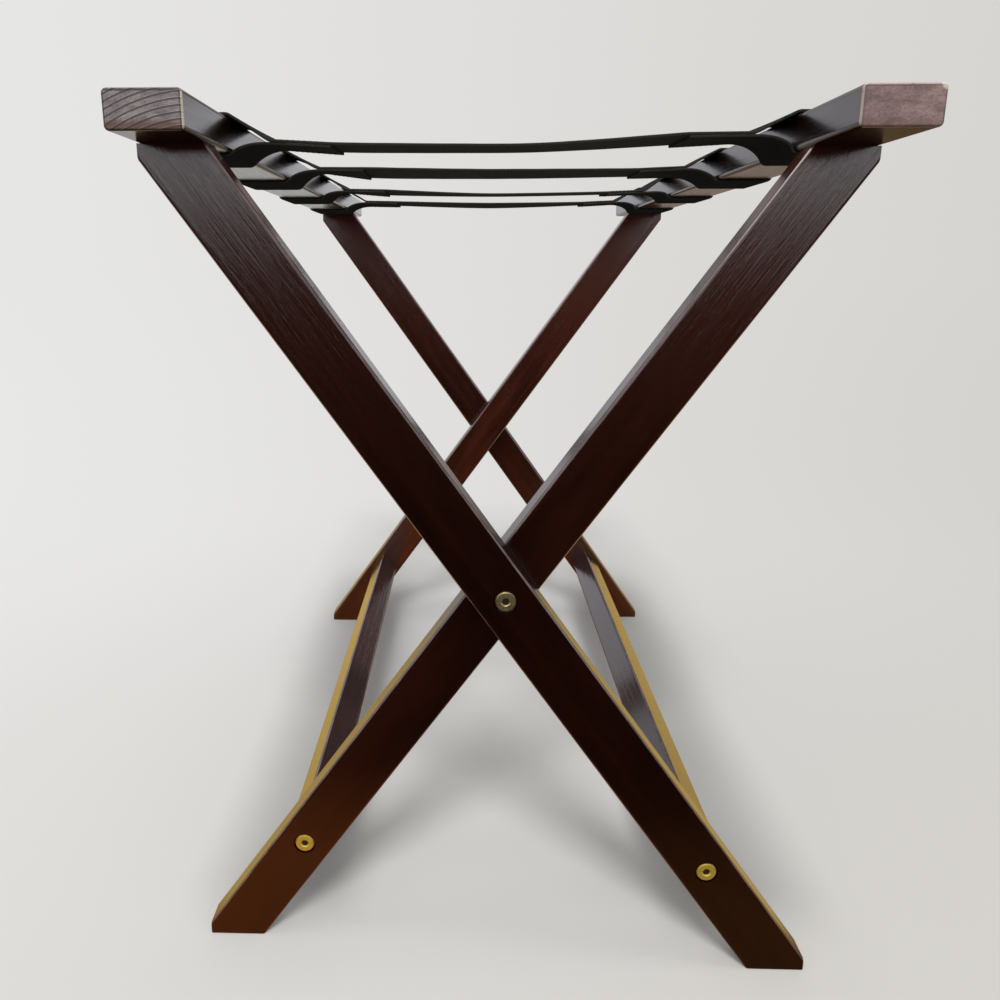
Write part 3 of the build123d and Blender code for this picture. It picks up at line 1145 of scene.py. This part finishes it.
def floor_finish(look):
    """Pale paper to the camera, with the rack's soft shadow and a painted shadow on it. To reflections it
    glows as a painted warm floor, and to all other rays as a painted fill light.
    """
    material, finish = new_material("studio_floor")
    place = finish.place()
    across = finish.measure(place, (1, 0, 0))
    along = finish.measure(place, (0, 1, 0))
    distance = (across * across + along * along).root()
    side = across / (distance * distance + 1.0).root()
    paper = paper_tone(finish, look, side, across, along, distance)
    lit = finish.mix(LIT_SHARE, (0, 0, 0), paper)
    shadowed = finish.add("ShaderNodeBsdfDiffuse", None, {"Color": lit})
    glow = finish.light("ShaderNodeEmission", paper)
    seen = finish.blend(distance.ramp(*GLOW_REACH, *GLOW_SHARE), shadowed, glow)
    # A painted reflection: the floor glows with a warm tone that the lacquer mirrors.
    mirrored = finish.light("ShaderNodeEmission", mirrored_tone(finish, side, across, along, distance))
    # A painted fill light: the floor glows evenly to all other rays.
    filling = finish.light("ShaderNodeEmission", (0.28, 0.265, 0.25))
    finish.end(by_ray(finish, seen, mirrored, filling))
    return material


def room_tone(finish, across, along, up):
    """The room as the lacquer mirrors it: pale on the left and low on the right, dark above that, and with
    a bright band behind the camera."""
    left = finish.mix(up.ramp(0.17, 0.22), (0.74, 0.73, 0.79), (0.60, 0.57, 0.58))
    left = finish.mix(up.ramp(0.32, 0.50), left, (0.95, 0.97, 1.0))
    lift = across.ramp(0.20, 0.30) * 0.06
    right = finish.mix((up + lift).ramp(0.235, 0.27), (0.96, 0.95, 0.98), (0.17, 0.115, 0.11))
    room = finish.mix(across.ramp(-0.5, 0.5), left, right)
    behind = finish.mix(up.ramp(0.11, 0.17), (1.80, 1.78, 1.86), (0.80, 0.80, 0.83))
    behind = finish.mix(up.ramp(0.052, 0.112), (0.05, 0.045, 0.045), behind)
    return finish.mix((-along).ramp(0.0, 0.6), room, behind)


def studio_world(look):
    """A pale backdrop to the camera, a bright room to the lacquer and soft, even light to everything."""
    world = bpy.data.worlds.new("studio")
    world.use_nodes = True
    finish = Finish(world.node_tree)
    way = finish.add("ShaderNodeTexCoord", output="Generated")
    across = finish.measure(way, (1, 0, 0))
    along = finish.measure(way, (0, 1, 0))
    up = finish.measure(way, (0, 0, 1))
    paper = by_side(finish, across, look.backdrop_left, look.backdrop_right)
    soft = finish.mix((-along).ramp(0.0, 0.8), (0.45, 0.45, 0.45), (1.0, 1.0, 1.0))
    seen = finish.light("ShaderNodeBackground", paper)
    mirrored = finish.light("ShaderNodeBackground", room_tone(finish, across, along, up))
    filling = finish.light("ShaderNodeBackground", soft)
    finish.end(by_ray(finish, seen, mirrored, filling), "ShaderNodeOutputWorld")
    return world


def aimed(way):
    """The rotation of a lamp that shines along a direction."""
    return Vector(way).to_track_quat("-Z", "Y").to_euler()


def lay_floor(look):
    """The wide floor under the rack."""
    mesh = bmesh.new()
    bmesh.ops.create_grid(mesh, x_segments=FLOOR_SQUARES, y_segments=FLOOR_SQUARES, size=FLOOR_REACH)
    floor = stand("floor", bpy.data.meshes.new("floor"))
    mesh.to_mesh(floor.data)
    mesh.free()
    floor.data.materials.append(floor_finish(look))
    floor.location.z = -FLOOR_GAP
    return floor


def hang_lamps(look, floor):
    """A softbox that lights all but the floor, and two lamps that light only the floor."""
    lamp = bpy.data.lights.new("softbox", "AREA")
    lamp.shape = "RECTANGLE"
    lamp.size = SOFTBOX_SIZE
    lamp.size_y = SOFTBOX_SIZE
    lamp.energy = look.lamp_power
    softbox = stand("softbox", lamp)
    softbox.location = SOFTBOX_PLACE
    softbox.rotation_euler = aimed(SOFTBOX_TARGET - SOFTBOX_PLACE)
    all_but_floor = bpy.data.collections.new("all_but_floor")
    all_but_floor.objects.link(floor)
    all_but_floor.collection_objects[0].light_linking.link_state = "EXCLUDE"
    softbox.light_linking.receiver_collection = all_but_floor

    floor_only = bpy.data.collections.new("floor_only")
    floor_only.objects.link(floor)
    for name, way, power, spread in FLOOR_LIGHTS:
        sun = bpy.data.lights.new(name, "SUN")
        sun.energy = power
        sun.angle = math.radians(spread)
        floor_light = stand(name, sun)
        floor_light.rotation_euler = aimed(way)
        floor_light.light_linking.receiver_collection = floor_only


def stand_camera(scene):
    """The camera in front of the rack, which looks slightly down along the rails."""
    lens = bpy.data.cameras.new("camera")
    lens.sensor_width = SENSOR_WIDTH
    lens.lens = FOCAL_LENGTH
    lens.shift_x, lens.shift_y = LENS_SHIFT
    camera = stand("camera", lens)
    camera.location = CAMERA_PLACE
    camera.rotation_euler = (math.radians(90 - CAMERA_DOWN), 0, math.radians(CAMERA_LEFT))
    scene.camera = camera
    scene.view_settings.view_transform = "Standard"


class RACK_OT_set_stage(bpy.types.Operator):
    """Lay the floor, hang the lamps and stand the camera"""

    bl_idname = "rack.set_stage"
    bl_label = "Set Stage"

    def execute(self, context):
        look = settings().stage
        floor = lay_floor(look)
        hang_lamps(look, floor)
        context.scene.world = studio_world(look)
        stand_camera(context.scene)
        return {"FINISHED"}


# ---------------------------------------------------------------- the add-on


class RACK_PT_panel(bpy.types.Panel):
    """Luggage rack tools"""

    bl_idname = "RACK_PT_panel"
    bl_label = "Luggage Rack"
    bl_space_type = "VIEW_3D"
    bl_region_type = "UI"
    bl_category = "Luggage Rack"

    def draw(self, context):
        for operator in OPERATORS:
            self.layout.operator(operator.bl_idname)


OPERATORS = (
    RACK_OT_finish_rails,
    RACK_OT_finish_legs,
    RACK_OT_finish_stretchers,
    RACK_OT_finish_hardware,
    RACK_OT_weave_straps,
    RACK_OT_stitch_straps,
    RACK_OT_set_stage,
)
CLASSES = (
    RackWoodSettings,
    RackMetalSettings,
    RackStrapSettings,
    RackStageSettings,
    RackSettings,
    *OPERATORS,
    RACK_PT_panel,
)


def register():
    for item in CLASSES:
        bpy.utils.register_class(item)
    bpy.types.Scene.luggage_rack = PointerProperty(type=RackSettings)


def unregister():
    del bpy.types.Scene.luggage_rack
    for item in reversed(CLASSES):
        bpy.utils.unregister_class(item)


def main():
    register()
    bpy.ops.rack.finish_rails()
    bpy.ops.rack.finish_legs()
    bpy.ops.rack.finish_stretchers()
    bpy.ops.rack.finish_hardware()
    bpy.ops.rack.weave_straps()
    bpy.ops.rack.stitch_straps()
    bpy.ops.rack.set_stage()


if __name__ == "__main__":
    main()
